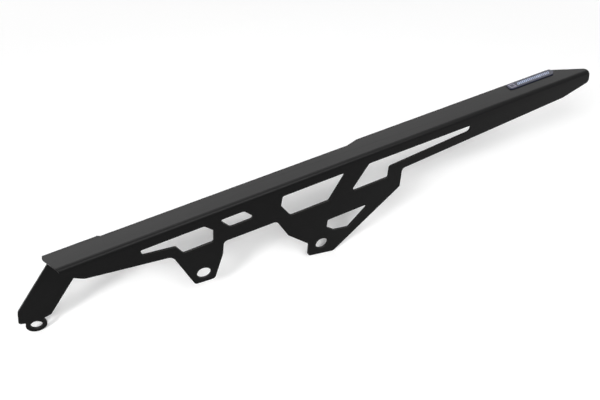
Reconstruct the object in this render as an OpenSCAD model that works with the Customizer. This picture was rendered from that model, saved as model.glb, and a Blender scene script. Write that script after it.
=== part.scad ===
// Chain guard for a motorcycle, folded from one sheet.
//
// The origin is on the axis of the front lug's hole, at the side plate's
// outer face. +X runs back along the fold to the tip, and +Y points inward,
// towards the chain. The side plate hangs down from the fold, and the top
// flange runs inward from it. At the front an arm hangs from the flange's
// inner edge and ends in a drilled ear.
//
// The outlines below are drawn from the front end of the fold: X = 0 there,
// the plate's outer face is Y = 0 and the flange's top face is Z = 0. The
// finished shapes are then moved so that the front hole is at the origin.

/* [Sheet] */
// Thickness of the sheet
sheet_t = 2; // [1.5:0.1:2.5]
// Outer radius of the bends
bend_r = 3.5; // [3:0.1:4.5]
// Length of the fold, from the front end to the tip
fold_len = 505.4; // [495:0.2:515]

/* [Top flange] */
// Width of the flange along most of its length
flange_w = 20.6; // [19:0.2:22]
// Width of the flange at the front, where the arm hangs from it
front_w = 24.2; // [23:0.2:26]
// Width of the flange towards the tip
rear_w = 24; // [23:0.2:27]
// Where the narrow middle stretch begins
waist_start = 30.6; // [29:0.2:33]
// Where the narrow middle stretch ends
waist_end = 254; // [246:1:262]
// How far the flange's inner corner reaches ahead of the fold
front_reach = 10.2; // [8:0.2:12]
// Width of the flange where its slanting front edge ends
skew_w = 18; // [16:0.2:19]
// Length of the slanting end of the flange
taper_len = 30.5; // [26:0.5:36]

/* [Side plate] */
// Depth of the plate's front edge above its cut corner
front_depth = 7.6; // [6:0.2:10]
// Depth of the plate where the cut corner ends
corner_depth = 17.3; // [16:0.2:18.6]
// Depth of the plate where the front lug begins
lug_root_depth = 29.8; // [29:0.2:31]
// Depth of the straight edge between the two lugs
middle_depth = 34.8; // [32.5:0.5:36]
// Depth of the plate just behind the rear lug
rear_depth = 31; // [29:0.5:33]
// Depth of the plate where the tip begins
tip_root_depth = 20.5; // [19:0.5:22]
// Depth of the plate at the tip
tip_depth = 12.6; // [11:0.2:14]

/* [Mounting holes] */
// Distance of the front hole behind the front end
front_hole_x = 96.4; // [94:0.2:98]
// Depth of the front hole below the fold
front_hole_drop = 61.6; // [58:0.2:64]
// Distance of the rear hole behind the front end
rear_hole_x = 207.2; // [204:0.2:210]
// Depth of the rear hole below the fold
rear_hole_drop = 85; // [82:0.2:88]
// Diameter of both holes in the side plate, for rubber grommets
lug_hole_d = 12.2; // [9:0.5:13]

/* [Openings] */
// Depth of the openings' top edge below the fold
opening_top = 10.7; // [9:0.1:12]
// Depth of the foremost opening's bottom edge
front_opening_bottom = 30.6; // [29:0.2:32]
// Depth of the small opening's bottom edge
small_opening_bottom = 21.9; // [20:0.2:24]
// Depth of the bottom edge of the two long openings
opening_bottom = 35.2; // [33:0.2:37]
// Distance of the rearmost opening's slot end behind the front end
slot_reach = 367; // [350:1:380]
// Radius of the openings' corners
opening_r = 1.6; // [0.8:0.1:2]

/* [Front arm] */
// Distance of the ear's hole ahead of the front end of the fold
ear_reach = 44.5; // [42:0.2:46]
// Depth of the ear's hole below the fold
ear_drop = 68.2; // [65:0.2:69]
// Radius of the ear
ear_r = 7.9; // [7.5:0.1:9]
// Diameter of the ear's hole
ear_hole_d = 9; // [6:0.2:9.6]

/* [Badge] */
// Thickness of the glued badge
badge_t = 1; // [0.6:0.1:1.6]
// Length of the badge along the flange
badge_len = 56.5; // [45:0.5:57]
// Width of the badge
badge_w = 9.4; // [8:0.2:9.6]
// Distance of the badge from the flange's inner edge
badge_margin = 0.9; // [0.8:0.1:1.4]
// How far the badge starts ahead of the flange's slanting end
badge_setback = 52.9; // [52.7:0.1:62]

/* [Hidden] */

over = 1;
plate_drop = 110;
behind = fold_len + 20;
ahead = -70;
bend_steps = 6;

// Unit vector from point a to point b.
function unit(a, b) = (b - a) / norm(b - a);

// Points of the arc of radius r that rounds the corner b between a and c.
function corner_arc(a, b, c, r) =
    let (
        u = unit(b, a),
        v = unit(b, c),
        half = acos(max(-1, min(1, u * v))) / 2,
        middle = b + (u + v) / norm(u + v) * r / sin(half),
        start = b + u * r / tan(half),
        turn = sign(v.x * u.y - v.y * u.x) * (180 - 2 * half),
        first = atan2(start.y - middle.y, start.x - middle.x),
        steps = max(2, ceil(abs(turn) / 15))
    )
    [for (i = [0 : steps])
        middle + r * [cos(first + turn * i / steps), sin(first + turn * i / steps)]];

// Outline whose corners, given as [x, y, radius], are rounded.
function rounded(corners) =
    let (n = len(corners))
    [for (i = [0 : n - 1])
        let (
            a = corners[(i + n - 1) % n],
            b = corners[i],
            c = corners[(i + 1) % n]
        )
        each (b.z > 0
            ? corner_arc([a.x, a.y], [b.x, b.y], [c.x, c.y], b.z)
            : [[b.x, b.y]])];

// Points on an arc from one angle to another round the point [y, z].
function arc(middle, r, from, to) =
    [for (i = [0 : bend_steps])
        let (angle = from + (to - from) * i / bend_steps)
        middle + r * [cos(angle), sin(angle)]];

// Section of the sheet across the fold: the plate, the bend and the flange.
function angle_section(width) = concat(
    [[0, -plate_drop]],
    arc([bend_r, -bend_r], bend_r, 180, 90),
    [[width, 0], [width, -sheet_t]],
    arc([bend_r, -bend_r], bend_r - sheet_t, 90, 180),
    [[sheet_t, -plate_drop]]
);

// Section across the front end, where the flange also bends down to the arm.
function channel_section(width) = concat(
    [[0, -plate_drop]],
    arc([bend_r, -bend_r], bend_r, 180, 90),
    arc([width - bend_r, -bend_r], bend_r, 90, 0),
    [[width, -plate_drop], [width - sheet_t, -plate_drop]],
    arc([width - bend_r, -bend_r], bend_r - sheet_t, 0, 90),
    arc([bend_r, -bend_r], bend_r - sheet_t, 90, 180),
    [[sheet_t, -plate_drop]]
);

// Sets an outline drawn in X and Z upright, from y1 to y2.
module upright(y1, y2) {
    translate([0, y2, 0])
        rotate([90, 0, 0])
            linear_extrude(height = y2 - y1)
                children();
}

// Runs a section drawn in Y and Z along X.
module along(length) {
    rotate([90, 0, 90])
        linear_extrude(height = length)
            children();
}

// The folded sheet before its outline is cut. Both stretches start from the
// plane where the arm's bend ends, so they meet there exactly.
module folded_blank() {
    translate([waist_start, 0, 0]) {
        along(behind - waist_start)
            polygon(angle_section(rear_w));
        mirror([1, 0, 0])
            along(waist_start - ahead)
                polygon(channel_section(front_w));
    }
}

// Outline of the side plate in X and Z, open past the fold at the top.
function plate_outline() =
    let (
        fx = front_hole_x,
        fz = -front_hole_drop,
        rx = rear_hole_x,
        rz = -rear_hole_drop
    )
    rounded([
        [-bend_r, over, 0],
        [-bend_r, -bend_r, 0],
        [0, -bend_r, 0],
        [0.3, -front_depth, 4],
        [12.4, -corner_depth, 8],
        [fx - 18.6, -lug_root_depth, 6],
        [fx - 10.2, fz - 9.4, 3],
        [fx + 7.4, fz - 11.6, 3.5],
        [fx + 20.4, fz + 13.6, 8],
        [fx + 24, -middle_depth, 4],
        [rx - 39, -middle_depth - 0.9, 4],
        [rx - 31, rz + 27.6, 6],
        [rx - 13, rz + 6.4, 3],
        [rx - 15.6, rz - 9.4, 3.5],
        [rx + 11, rz - 16.6, 3.5],
        [rx + 84.4, rz + 33.4, 3],
        [rx + 86.4, -rear_depth, 3.5],
        [fold_len - 26.9, -tip_root_depth, 12],
        [fold_len + 3.4, -tip_depth, 3.4],
        [fold_len - 0.4, over, 0]
    ]);

// Outline of the top flange in X and Y. Its front edge runs slanting from the
// fold's front end, across the bend, to the corner above the arm.
function flange_outline() = rounded([
    [over * front_reach / skew_w, -over, 0],
    [behind - over, -over, 0],
    [behind - over, bend_r, 0],
    [fold_len, bend_r, 0],
    [fold_len - 0.2, bend_r + 2.7, 3],
    [fold_len - taper_len, rear_w, 5],
    [waist_end + 6, rear_w, 4],
    [waist_end - 5, flange_w, 6],
    [waist_start + 3, flange_w, 1.2],
    [waist_start, front_w - 1.8, 0.8],
    [waist_start, front_w + over, 0],
    [-front_reach, front_w + over, 0],
    [-front_reach, skew_w, 1.6]
]);

// Outline of the front arm in X and Z, open past its bend at the top.
function arm_outline() =
    let (ex = -ear_reach, ez = -ear_drop)
    rounded([
        [waist_start + over, over, 0],
        [waist_start, -bend_r, 3],
        [ex + 14.4, ez + 5.7, 2],
        [ex + 7.6, ez + 4.4, 1],
        [ex, ez, 0],
        [ex - 6.4, ez + 6.6, 1],
        [ex - 10.4, ez + 8.4, 2],
        [ex - 5.4, ez + 20.8, 6],
        [-front_reach, -9.9, 3],
        [-front_reach, over, 0]
    ]);

// Openings through the side plate, each given by its rounded corners.
function front_opening() = rounded([
    [57.4, -opening_top, 1.6],
    [109.2, -opening_top, 3],
    [115.1, -opening_top - 7.6, 2],
    [112.4, -front_opening_bottom, 2],
    [86.7, -front_opening_bottom, 2],
    [83, -opening_top - 10.2, 3],
    [57.4, -opening_top - 5.6, 1.6]
]);

function small_opening() = rounded([
    [122, -opening_top, opening_r],
    [143, -opening_top, 3],
    [151.2, -small_opening_bottom, 2.4],
    [128.8, -small_opening_bottom, 3]
]);

function middle_opening() = rounded([
    [177.3, -opening_top, opening_r],
    [236.8, -opening_top, 2],
    [218.4, -opening_bottom, 1.2],
    [181.6, -opening_bottom, 3],
    [174.4, -opening_top - 9.6, 2]
]);

function rear_opening() = rounded([
    [259.5, -opening_top, 2.4],
    [slot_reach, -opening_top - 0.7, 2],
    [slot_reach - 0.5, -opening_top - 7, 3],
    [280.2, -opening_top - 12.5, 2.4],
    [278.8, -opening_bottom, opening_r],
    [239.6, -opening_bottom, 2.8]
]);

function lug_opening() = rounded([
    [215.5, -58.1, 1.6],
    [259.6, -58.1, 2.2],
    [235.8, -77.8, 1.2],
    [221, -74.2, 2],
    [213.9, -67, 2]
]);

// The sheet outside the side plate's outline.
module plate_waste() {
    upright(-over, bend_r)
        difference() {
            translate([ahead - over, -plate_drop - over])
                square([behind - ahead + 2 * over, plate_drop + 2 * over]);
            polygon(plate_outline());
        }
}

// The sheet outside the flange's outline.
module flange_waste() {
    translate([0, 0, -bend_r])
        linear_extrude(height = bend_r + over)
            difference() {
                translate([ahead - over, -over])
                    square([behind - ahead + 2 * over, front_w + rear_w]);
                polygon(flange_outline());
            }
}

// The sheet outside the arm's outline, the round ear kept whole.
module arm_waste() {
    upright(front_w - bend_r, front_w + over)
        difference() {
            translate([ahead - over, -plate_drop - over])
                square([waist_start - ahead + over, plate_drop + over - bend_r]);
            polygon(arm_outline());
            translate([-ear_reach, -ear_drop])
                circle(r = ear_r, $fn = 48);
        }
}

// A round hole along Y through a wall whose faces are at y1 and y2.
module cross_hole(x, z, d, y1, y2) {
    translate([x, y2 + over, z])
        rotate([90, 0, 0])
            cylinder(h = y2 - y1 + 2 * over, d = d, $fn = 64);
}

// The five openings and the two round holes of the side plate.
module plate_cuts() {
    upright(-over, sheet_t + over) {
        polygon(front_opening());
        polygon(small_opening());
        polygon(middle_opening());
        polygon(rear_opening());
        polygon(lug_opening());
    }
    cross_hole(front_hole_x, -front_hole_drop, lug_hole_d, 0, sheet_t);
    cross_hole(rear_hole_x, -rear_hole_drop, lug_hole_d, 0, sheet_t);
}

// Moves a shape drawn from the front end of the fold to the part's origin.
module from_front_hole() {
    translate([-front_hole_x, 0, front_hole_drop])
        children();
}

// The guard: side plate, top flange and front arm in one sheet.
module guard() {
    color("#1d1d1f")
        from_front_hole() difference() {
            folded_blank();
            plate_waste();
            flange_waste();
            arm_waste();
            plate_cuts();
            cross_hole(-ear_reach, -ear_drop, ear_hole_d, front_w - sheet_t, front_w);
        }
}

// The badge on the flange near its slanting end.
module badge() {
    color("#20304e")
        from_front_hole()
            translate([fold_len - taper_len - badge_setback, rear_w - badge_w - badge_margin, 0])
                linear_extrude(height = badge_t)
                    polygon(rounded([
                        [0, 0, 2],
                        [badge_len - 5.5, 0, 2],
                        [badge_len, badge_w * 0.55, 2],
                        [badge_len - 2, badge_w, 1.5],
                        [1.5, badge_w, 2]
                    ]));
}

guard();
badge();
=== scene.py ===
"""Looks of a folded motorcycle chain guard: coated sheet, glued badge, studio."""

import logging
import math
from dataclasses import dataclass
from enum import Enum
from typing import Any, Mapping, Optional, Sequence, Union

import bmesh
import bpy
import numpy as np
from mathutils import Matrix, Vector


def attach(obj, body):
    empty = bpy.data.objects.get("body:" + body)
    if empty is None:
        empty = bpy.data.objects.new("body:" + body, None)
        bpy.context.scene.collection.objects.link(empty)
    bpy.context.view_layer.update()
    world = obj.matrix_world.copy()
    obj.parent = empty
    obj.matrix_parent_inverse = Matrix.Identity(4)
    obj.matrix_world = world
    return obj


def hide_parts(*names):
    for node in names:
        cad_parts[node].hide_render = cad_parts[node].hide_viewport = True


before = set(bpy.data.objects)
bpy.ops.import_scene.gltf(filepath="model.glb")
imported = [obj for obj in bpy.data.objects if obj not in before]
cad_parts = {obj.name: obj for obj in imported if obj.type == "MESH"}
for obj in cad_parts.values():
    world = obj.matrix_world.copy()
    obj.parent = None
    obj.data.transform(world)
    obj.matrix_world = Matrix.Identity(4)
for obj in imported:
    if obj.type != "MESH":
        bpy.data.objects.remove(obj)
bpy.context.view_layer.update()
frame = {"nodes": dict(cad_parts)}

log = logging.getLogger("chain_guard")

MM = 0.001
Colour = tuple[float, float, float]
WHITE: Colour = (1.0, 1.0, 1.0)


class RayWhite(Enum):
    """Which rays see the plain white background."""

    CAMERA = "Is Camera Ray"
    GLOSSY = "Is Glossy Ray"
    TRANSMISSION = "Is Transmission Ray"


class Field:
    """A shader number that takes Python arithmetic."""

    def __init__(self, shader: "Shader", socket: bpy.types.NodeSocket) -> None:
        """Keeps the socket and the shader that its Math nodes go into.

        Args:
            shader: The shader under construction.
            socket: The output socket that carries the number.
        """
        self.shader = shader
        self.socket = socket

    def _math(self, operation: str, first: "Number", second: "Number") -> "Field":
        """Adds one Math node.

        Args:
            operation: The Math node's operation.
            first: The left operand.
            second: The right operand.

        Returns:
            The node's result.
        """
        made = self.shader.node(
            "ShaderNodeMath", {"operation": operation}, {0: first, 1: second}
        )
        return Field(self.shader, made.outputs[0])

    def __add__(self, other: "Number") -> "Field":
        """Sum."""
        return self._math("ADD", self, other)

    def __radd__(self, other: float) -> "Field":
        """Sum with a number on the left."""
        return self._math("ADD", other, self)

    def __sub__(self, other: "Number") -> "Field":
        """Difference."""
        return self._math("SUBTRACT", self, other)

    def __mul__(self, other: "Number") -> "Field":
        """Product."""
        return self._math("MULTIPLY", self, other)

    def __rmul__(self, other: float) -> "Field":
        """Product with a number on the left."""
        return self._math("MULTIPLY", other, self)

    def __truediv__(self, other: "Number") -> "Field":
        """Quotient."""
        return self._math("DIVIDE", self, other)

    def __lt__(self, other: "Number") -> "Field":
        """1 where the value is under the other, else 0."""
        return self._math("LESS_THAN", self, other)

    def __gt__(self, other: "Number") -> "Field":
        """1 where the value is over the other, else 0."""
        return self._math("GREATER_THAN", self, other)

    def __abs__(self) -> "Field":
        """Size without its sign."""
        return self._math("ABSOLUTE", self, 0.0)

    def highest(self, other: "Number") -> "Field":
        """The larger of two values."""
        return self._math("MAXIMUM", self, other)

    def lowest(self, other: "Number") -> "Field":
        """The smaller of two values."""
        return self._math("MINIMUM", self, other)

    def root(self) -> "Field":
        """Square root."""
        return self._math("SQRT", self, 0.0)

    def wrapped(self, period: float) -> "Field":
        """The value's place within a repeat, from 0 to the period."""
        return self._math("FLOORED_MODULO", self, period)

    def between(self, low: float, high: float) -> "Field":
        """1 inside a range, else 0."""
        return (self > low) * (self < high)


Number = Union[Field, float]


class Shader:
    """The nodes of a material or of the world, under construction."""

    def __init__(self, owner: Union[bpy.types.Material, bpy.types.World]) -> None:
        """Empties the owner's node tree.

        Args:
            owner: The material or world that the nodes are for.
        """
        self.owner = owner
        owner.use_nodes = True
        self.tree = owner.node_tree
        self.tree.nodes.clear()

    def node(
        self,
        kind: str,
        settings: Optional[Mapping[str, Any]] = None,
        inputs: Optional[Mapping[Union[int, str], Any]] = None,
    ) -> bpy.types.Node:
        """Adds one node of any kind.

        Args:
            kind: The node's type.
            settings: The node's own settings, made before its sockets are filled.
            inputs: A value, socket or Field for each input, by name or index.

        Returns:
            The new node.
        """
        made = self.tree.nodes.new(kind)
        for key, value in (settings or {}).items():
            setattr(made, key, value)
        for key, value in (inputs or {}).items():
            target = made.inputs[key]
            if isinstance(value, Field):
                self.tree.links.new(value.socket, target)
            elif isinstance(value, bpy.types.NodeSocket):
                self.tree.links.new(value, target)
            elif target.type == "RGBA" and isinstance(value, tuple):
                target.default_value = (*value, 1.0)
            else:
                target.default_value = value
        return made

    def place(self) -> bpy.types.NodeSocket:
        """The point on the surface, in the part's own metres."""
        return self.node("ShaderNodeTexCoord").outputs["Object"]

    def axes(self, point: bpy.types.NodeSocket) -> tuple[Field, Field, Field]:
        """Splits a point into its three distances.

        Args:
            point: A vector socket.

        Returns:
            The X, Y and Z fields.
        """
        split = self.node("ShaderNodeSeparateXYZ", inputs={0: point})
        return tuple(Field(self, out) for out in split.outputs)

    def noise(
        self, point: bpy.types.NodeSocket, size: float, detail: float = 2.0
    ) -> Field:
        """Soft random variation, from 0 to 1.

        Args:
            point: Where it is read.
            size: The width of one blotch in metres.
            detail: How many finer layers are added.

        Returns:
            The noise value.
        """
        made = self.node(
            "ShaderNodeTexNoise",
            {"noise_dimensions": "3D"},
            {"Vector": point, "Scale": 1.0 / size, "Detail": detail},
        )
        return Field(self, made.outputs["Fac"])

    def blend(
        self, factor: Number, first: Any, second: Any
    ) -> bpy.types.NodeSocket:
        """Mixes two colours.

        Args:
            factor: 0 for the first colour, 1 for the second.
            first: A colour or colour socket.
            second: A colour or colour socket.

        Returns:
            The mixed colour.
        """
        made = self.node(
            "ShaderNodeMix", {"data_type": "RGBA"}, {0: factor, 6: first, 7: second}
        )
        return made.outputs[2]

    def bump(
        self, height: Field, depth: float, strength: float
    ) -> bpy.types.NodeSocket:
        """Turns a height from 0 to 1 into a surface normal.

        Args:
            height: The height field.
            depth: How deep a height of 1 is, in metres.
            strength: How strongly the bump shows.

        Returns:
            The normal.
        """
        made = self.node(
            "ShaderNodeBump",
            inputs={"Height": height, "Distance": depth, "Strength": strength},
        )
        return made.outputs["Normal"]

    def seen(self) -> Field:
        """1 for the rays that see the plain white background, else 0."""
        rays = self.node("ShaderNodeLightPath")
        camera, glossy, through = (
            Field(self, rays.outputs[ray.value]) for ray in RayWhite
        )
        return camera.highest(glossy).highest(through)

    def finish(
        self, surface: bpy.types.NodeSocket
    ) -> Union[bpy.types.Material, bpy.types.World]:
        """Joins the surface to an output node.

        Args:
            surface: The shader socket to show.

        Returns:
            The finished material or world.
        """
        world = isinstance(self.owner, bpy.types.World)
        kind = "ShaderNodeOutputWorld" if world else "ShaderNodeOutputMaterial"
        self.node(kind, inputs={"Surface": surface})
        return self.owner


@dataclass(frozen=True)
class PowderCoat:
    """Satin black powder coat with a fine orange-peel skin."""

    name: str = "powder_coat"
    black: Colour = (0.0016, 0.0016, 0.0017)
    worn: Colour = (0.0028, 0.0028, 0.0029)
    grain: float = 0.0011
    drift: float = 0.055
    sheen_low: float = 0.40
    sheen_high: float = 0.46
    gloss: float = 0.09
    drift_share: float = 0.7
    speck_size: float = 0.35
    peel_share: float = 0.8
    peel_rough: float = 0.04
    peel_depth: float = 0.06 * MM
    peel_strength: float = 0.5

    def build(self) -> bpy.types.Material:
        """Makes the material.

        Slow noise shifts the colour and the roughness a little from place to
        place, and fine noise gives the cured powder its peel.

        Returns:
            The finished material.
        """
        shader = Shader(bpy.data.materials.new(self.name))
        point = shader.place()
        slow = shader.noise(point, self.drift, 3.0)
        fine = shader.noise(point, self.grain, 1.0)
        speck = shader.noise(point, self.grain * self.speck_size, 0.0)
        tone = slow * self.drift_share + fine * (1.0 - self.drift_share)
        rough = self.sheen_low + (self.sheen_high - self.sheen_low) * slow
        peel = fine * self.peel_share + speck * (1.0 - self.peel_share)
        surface = shader.node(
            "ShaderNodeBsdfPrincipled",
            inputs={
                "Base Color": shader.blend(tone, self.black, self.worn),
                "Roughness": rough + fine * self.peel_rough,
                "Specular IOR Level": self.gloss,
                "Normal": shader.bump(peel, self.peel_depth, self.peel_strength),
            },
        )
        return shader.finish(surface.outputs[0])


@dataclass(frozen=True)
class DomedLabel:
    """Printed fields of blue under a clear domed resin."""

    origin: tuple[float, float]
    length: float
    width: float
    name: str = "domed_label"
    ground: Colour = (0.006, 0.009, 0.028)
    pale: Colour = (0.30, 0.48, 0.74)
    ice: Colour = (0.58, 0.58, 0.78)
    frame: Colour = (0.15, 0.14, 0.21)
    hatch_pitch: float = 2.1 * MM
    hatch_fill: float = 0.66
    slant: float = 0.55
    band_half: float = 0.2
    band_start: float = 0.95
    band_end: float = 0.84
    square_shift: float = 0.6 * MM
    square_hole: float = 0.2
    square_edge: float = 0.33
    drift: float = 11 * MM
    fade: float = 4 * MM
    faintest: float = 0.35
    sheen: float = 0.34
    sheen_drift: float = 0.08
    gloss: float = 0.12
    dome: float = 0.12
    dome_sheen: float = 0.08

    def build(self) -> bpy.types.Material:
        """Makes the material.

        A navy ground carries a small lilac square frame at the front end and a
        band of fine slanting hatching behind it, whose colour drifts along it.

        Returns:
            The finished material.
        """
        shader = Shader(bpy.data.materials.new(self.name))
        point = shader.place()
        x, y, _ = shader.axes(point)
        along = x - self.origin[0]
        across = y - self.origin[1]
        half = self.width / 2
        inset = abs(across - half)
        leaning = along - across * self.slant
        hatch = leaning.wrapped(self.hatch_pitch) < self.hatch_pitch * self.hatch_fill
        band = (inset < self.width * self.band_half) * leaning.between(
            self.width * self.band_start, self.length * self.band_end
        )
        reach = abs(along - half - self.square_shift).highest(inset)
        square = reach.between(
            self.width * self.square_hole, self.width * self.square_edge
        )
        drift = shader.noise(point, self.drift, 2.0)
        fade = shader.noise(point, self.fade, 1.0)
        inked = hatch * band * (self.faintest + (1.0 - self.faintest) * fade)
        printed = shader.blend(drift, self.pale, self.ice)
        colour = shader.blend(inked, self.ground, printed)
        colour = shader.blend(square, colour, self.frame)
        surface = shader.node(
            "ShaderNodeBsdfPrincipled",
            inputs={
                "Base Color": colour,
                "Roughness": self.sheen + self.sheen_drift * drift,
                "Specular IOR Level": self.gloss,
                "Coat Weight": self.dome,
                "Coat Roughness": self.dome_sheen,
            },
        )
        return shader.finish(surface.outputs[0])


@dataclass(frozen=True)
class StudioFloor:
    """Plain white floor that keeps the shadow."""

    name: str = "studio_floor"
    colour: Colour = WHITE
    matt: float = 0.5
    lift: float = 0.07
    middle: tuple[float, float] = (0.16, 0.1)
    kept: float = 0.45
    gone: float = 0.95

    def build(self) -> bpy.types.Material:
        """Makes the material: white paint, lifted a little where it is seen.

        Away from the guard the paint gives way to plain white, so that the
        floor ends without a line.

        Returns:
            The finished material.
        """
        shader = Shader(bpy.data.materials.new(self.name))
        paint = shader.node(
            "ShaderNodeBsdfDiffuse",
            inputs={"Color": self.colour, "Roughness": self.matt},
        )
        glow = shader.node(
            "ShaderNodeEmission", inputs={"Color": self.colour, "Strength": self.lift}
        )
        lifted = shader.node(
            "ShaderNodeAddShader", inputs={0: paint.outputs[0], 1: glow.outputs[0]}
        )
        white = shader.node(
            "ShaderNodeEmission", inputs={"Color": self.colour, "Strength": 1.0}
        )
        x, y, _ = shader.axes(shader.place())
        east, north = x - self.middle[0], y - self.middle[1]
        reach = (east * east + north * north).root()
        fade = ((reach - self.kept) / (self.gone - self.kept)).highest(0.0)
        open_floor = shader.node(
            "ShaderNodeMixShader",
            inputs={0: fade.lowest(1.0), 1: lifted.outputs[0], 2: white.outputs[0]},
        )
        mixed = shader.node(
            "ShaderNodeMixShader",
            inputs={0: shader.seen(), 1: paint.outputs[0], 2: open_floor.outputs[0]},
        )
        return shader.finish(mixed.outputs[0])


def mesh_from_grid(name: str, points: np.ndarray, closed: bool) -> bpy.types.Mesh:
    """Makes a mesh from a grid of points.

    Each cell of the grid becomes one four-sided face. The grid may close on
    itself along its second parameter.

    Args:
        name: The mesh's name.
        points: An array of shape (rows, columns, 3).
        closed: Whether the last column joins the first.

    Returns:
        The mesh.
    """
    rows, columns, _ = points.shape
    index = np.arange(rows * columns).reshape(rows, columns)
    after = np.roll(index, -1, axis=1)
    last = columns if closed else columns - 1
    quads = np.stack(
        [index[:-1, :last], after[:-1, :last], after[1:, :last], index[1:, :last]],
        axis=-1,
    ).reshape(-1, 4)
    mesh = bpy.data.meshes.new(name)
    mesh.from_pydata(points.reshape(-1, 3).tolist(), [], quads.tolist())
    mesh.update()
    return mesh


def add_piece(name: str, mesh: bpy.types.Mesh) -> bpy.types.Object:
    """Puts a mesh into the scene as an object at the origin.

    Args:
        name: The object's name.
        mesh: Its mesh.

    Returns:
        The object.
    """
    made = bpy.data.objects.new(name, mesh)
    bpy.context.scene.collection.objects.link(made)
    return made


@dataclass
class GuardShell:
    """The folded sheet: side plate, top flange and front arm."""

    node: str = "guard"
    edge_round: float = 0.35 * MM
    edge_steps: int = 2
    edge_angle: float = math.radians(50)
    smooth_angle: float = math.radians(24)
    flat_angle: float = math.radians(0.4)
    weld: float = 0.001 * MM
    coat: PowderCoat = PowderCoat()

    def build(self) -> bpy.types.Object:
        """Copies the sheet, rounds its cut edges and coats it.

        The copy's loose triangles are joined and its flat faces made whole, so
        that only the real edges are rounded and the bends shade smoothly.

        Returns:
            The coated sheet.
        """
        mesh = frame["nodes"][self.node].data.copy()
        mesh.name = "coated_sheet"
        work = bmesh.new()
        work.from_mesh(mesh)
        bmesh.ops.remove_doubles(work, verts=work.verts, dist=self.weld)
        bmesh.ops.dissolve_limit(
            work,
            angle_limit=self.flat_angle,
            verts=work.verts,
            edges=work.edges,
        )
        bmesh.ops.recalc_face_normals(work, faces=work.faces)
        work.to_mesh(mesh)
        work.free()
        mesh.materials.clear()
        mesh.materials.append(self.coat.build())
        mesh.shade_smooth()
        mesh.set_sharp_from_angle(angle=self.smooth_angle)
        sheet = add_piece("coated_sheet", mesh)
        bevel = sheet.modifiers.new("edges", "BEVEL")
        bevel.width = self.edge_round
        bevel.segments = self.edge_steps
        bevel.limit_method = "ANGLE"
        bevel.angle_limit = self.edge_angle
        bevel.harden_normals = True
        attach(sheet, "root")
        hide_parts(self.node)
        return sheet


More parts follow.
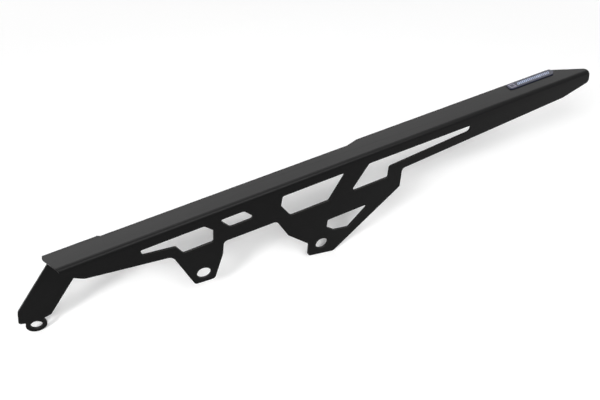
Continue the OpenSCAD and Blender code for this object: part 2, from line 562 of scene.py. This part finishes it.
@dataclass
class Badge:
    """The domed label glued to the flange near its slanting end."""

    node: str = "badge"
    front: float = 325.6 * MM
    side: float = 13.7 * MM
    base: float = 61.6 * MM
    length: float = 56.5 * MM
    width: float = 9.4 * MM
    height: float = 1.0 * MM
    corners: Sequence[tuple[float, float, float]] = (
        (0.0, 0.0, 2.0),
        (51.0, 0.0, 2.0),
        (56.5, 5.17, 2.0),
        (54.5, 9.4, 1.5),
        (1.5, 9.4, 2.0),
    )
    corner_steps: int = 10
    wall: float = 0.6
    crown: float = 3.0
    rings: int = 18
    steps: int = 160
    crease: float = math.radians(40)
    weld: float = 0.0001 * MM

    def outline(self) -> np.ndarray:
        """Walks round the badge's rounded five-sided outline.

        Each corner is an arc that touches its two sides, found from the
        angle between them, and the points along the arcs are joined.

        Returns:
            Points of shape (n, 2), counter-clockwise.
        """
        listed = np.array(self.corners) * MM
        corners, radius = listed[:, :2], listed[:, 2]
        before = np.roll(corners, 1, axis=0) - corners
        after = np.roll(corners, -1, axis=0) - corners
        before /= np.linalg.norm(before, axis=1, keepdims=True)
        after /= np.linalg.norm(after, axis=1, keepdims=True)
        half = np.arccos(np.sum(before * after, axis=1)) / 2
        inward = before + after
        inward /= np.linalg.norm(inward, axis=1, keepdims=True)
        centres = corners + inward * (radius / np.sin(half))[:, None]
        starts = corners + before * (radius / np.tan(half))[:, None] - centres
        first = np.arctan2(starts[:, 1], starts[:, 0])
        turn = np.pi - 2 * half
        share = np.linspace(0.0, 1.0, self.corner_steps)
        angles = first[:, None] + turn[:, None] * share[None, :]
        arcs = centres[:, None, :] + radius[:, None, None] * np.stack(
            [np.cos(angles), np.sin(angles)], axis=-1
        )
        return arcs.reshape(-1, 2)

    def surface(self) -> np.ndarray:
        """Lays rings from the outline in to the middle line.

        The first two rings are the upright wall. Over the rest, the point
        moves towards the badge's middle line, and its height rises from the
        wall's top to the full height along a quarter circle, which is the dome.

        Returns:
            Points of shape (rings, steps, 3).
        """
        edge = self.outline()
        step = np.linalg.norm(np.roll(edge, -1, axis=0) - edge, axis=1)
        walked = np.concatenate([[0.0], np.cumsum(step)])
        looped = np.vstack([edge, edge[:1]])
        at = np.linspace(0.0, walked[-1], self.steps, endpoint=False)
        ring = np.stack([np.interp(at, walked, looped[:, k]) for k in (0, 1)], axis=-1)
        half = self.width / 2
        spine_x = np.clip(ring[:, 0], half, self.length - half)
        spine = np.stack([spine_x, np.full(self.steps, half)], axis=-1)
        inward = np.concatenate([[0.0, 0.0], np.linspace(0.0, 1.0, self.rings)[1:]])
        rise = np.sqrt(1.0 - (1.0 - np.clip(inward * self.crown, 0.0, 1.0)) ** 2)
        lift = self.height * (self.wall + (1.0 - self.wall) * rise)
        lift[0] = 0.0
        flat = ring[None] + (spine - ring)[None] * inward[:, None, None]
        tall = np.broadcast_to(lift[:, None, None], flat.shape[:2] + (1,))
        points = np.concatenate([flat, tall], axis=-1)
        return points + np.array([self.front, self.side, self.base])

    def build(self) -> bpy.types.Object:
        """Makes the domed label and closes its underside.

        Returns:
            The badge.
        """
        mesh = mesh_from_grid("badge_dome", self.surface(), closed=True)
        work = bmesh.new()
        work.from_mesh(mesh)
        bmesh.ops.remove_doubles(work, verts=work.verts, dist=self.weld)
        rim = [edge for edge in work.edges if edge.is_boundary]
        bmesh.ops.contextual_create(work, geom=rim)
        bmesh.ops.recalc_face_normals(work, faces=work.faces)
        work.to_mesh(mesh)
        work.free()
        finish = DomedLabel((self.front, self.side), self.length, self.width)
        mesh.materials.append(finish.build())
        mesh.shade_smooth()
        mesh.set_sharp_from_angle(angle=self.crease)
        badge = add_piece("badge_dome", mesh)
        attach(badge, "root")
        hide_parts(self.node)
        return badge


@dataclass(frozen=True)
class SoftBox:
    """A rectangular studio lamp."""

    name: str
    place: tuple[float, float, float]
    aim: tuple[float, float, float]
    size: tuple[float, float]
    watts: float
    reflection_only: bool = False

    def build(self) -> bpy.types.Object:
        """Hangs the lamp and turns it to what it lights.

        Returns:
            The lamp.
        """
        lamp = bpy.data.lights.new(self.name, "AREA")
        lamp.shape = "RECTANGLE"
        lamp.size, lamp.size_y = self.size
        lamp.energy = self.watts
        hung = bpy.data.objects.new(self.name, lamp)
        bpy.context.scene.collection.objects.link(hung)
        hung.location = self.place
        towards = Vector(self.aim) - Vector(self.place)
        hung.rotation_euler = towards.to_track_quat("-Z", "Y").to_euler()
        hung.visible_diffuse = not self.reflection_only
        return hung


@dataclass
class Studio:
    """Floor, lamps, world and camera round the guard."""

    floor_normal: tuple[float, float, float] = (0.0966, -0.033, 0.9948)
    floor_offset: float = -0.0289
    floor_reach: float = 4.0
    eye: tuple[float, float, float] = (-0.0044, -0.2889, 0.3220)
    right: tuple[float, float, float] = (0.9055, -0.4119, -0.1018)
    up: tuple[float, float, float] = (0.3500, 0.5895, 0.7280)
    lens: float = 29.4
    sensor: float = 36.0
    nearest: float = 0.01
    farthest: float = 50.0
    sky: float = 0.44
    lamps: Sequence[SoftBox] = (
        SoftBox("key", (0.4, -1.71, 1.96), (0.13, 0.0, 0.0), (1.6, 0.9), 24.0),
        SoftBox("side", (-1.48, -1.17, 1.67), (0.13, 0.0, 0.0), (0.6, 0.6), 28.0),
        SoftBox("front", (0.15, -0.6, 0.6), (0.2, 0.0, 0.0), (1.0, 0.2), 8.0, True),
        SoftBox(
            "back_left", (-0.35, 1.7, 1.5), (0.1, 0.0, 0.05), (1.7, 1.4), 48.0, True
        ),
        SoftBox(
            "back_mid", (0.95, 1.7, 1.5), (0.1, 0.0, 0.05), (0.9, 1.4), 21.0, True
        ),
        SoftBox(
            "back_right", (2.2, 1.7, 1.5), (0.1, 0.0, 0.05), (1.6, 1.4), 16.0, True
        ),
        SoftBox("top", (0.4, 0.5, 2.3), (0.2, 0.0, 0.05), (3.4, 1.2), 46.0, True),
    )

    def lay_floor(self) -> bpy.types.Object:
        """Lays a flat grid of floor under the guard's ear and rear lug.

        Returns:
            The floor.
        """
        span = np.linspace(-self.floor_reach, self.floor_reach, 5)
        x, y = np.meshgrid(span, span, indexing="xy")
        east, north, upright = self.floor_normal
        level = (self.floor_offset - east * x - north * y) / upright
        mesh = mesh_from_grid("floor", np.stack([x, y, level], axis=-1), closed=False)
        mesh.materials.append(StudioFloor().build())
        floor = add_piece("floor", mesh)
        return floor

    def light_world(self) -> None:
        """Gives even light from all round, with white where it is seen."""
        world = bpy.data.worlds.new("studio")
        bpy.context.scene.world = world
        shader = Shader(world)
        even, white = (
            shader.node(
                "ShaderNodeBackground", inputs={"Color": WHITE, "Strength": strength}
            )
            for strength in (self.sky, 1.0)
        )
        mixed = shader.node(
            "ShaderNodeMixShader",
            inputs={0: shader.seen(), 1: even.outputs[0], 2: white.outputs[0]},
        )
        shader.finish(mixed.outputs[0])

    def set_camera(self) -> bpy.types.Object:
        """Stands the camera where the photograph was taken from.

        Returns:
            The camera.
        """
        right = Vector(self.right).normalized()
        back = right.cross(Vector(self.up)).normalized()
        up = back.cross(right)
        turned = Matrix((right, up, back)).transposed().to_4x4()
        data = bpy.data.cameras.new("camera")
        data.lens = self.lens
        data.sensor_width = self.sensor
        data.sensor_fit = "HORIZONTAL"
        data.clip_start = self.nearest
        data.clip_end = self.farthest
        camera = bpy.data.objects.new("camera", data)
        bpy.context.scene.collection.objects.link(camera)
        camera.matrix_world = Matrix.Translation(self.eye) @ turned
        bpy.context.scene.camera = camera
        return camera

    def build(self) -> None:
        """Sets up the whole studio."""
        self.set_camera()
        self.lay_floor()
        self.light_world()
        for lamp in self.lamps:
            lamp.build()
        bpy.context.scene.view_settings.view_transform = "Standard"


def main() -> None:
    """Builds the studio and the guard, piece by piece."""
    logging.basicConfig(level=logging.INFO)
    Studio().build()
    for maker in (GuardShell(), Badge()):
        piece = maker.build()
        log.info("built %s with %d faces", piece.name, len(piece.data.polygons))


if __name__ == "__main__":
    main()
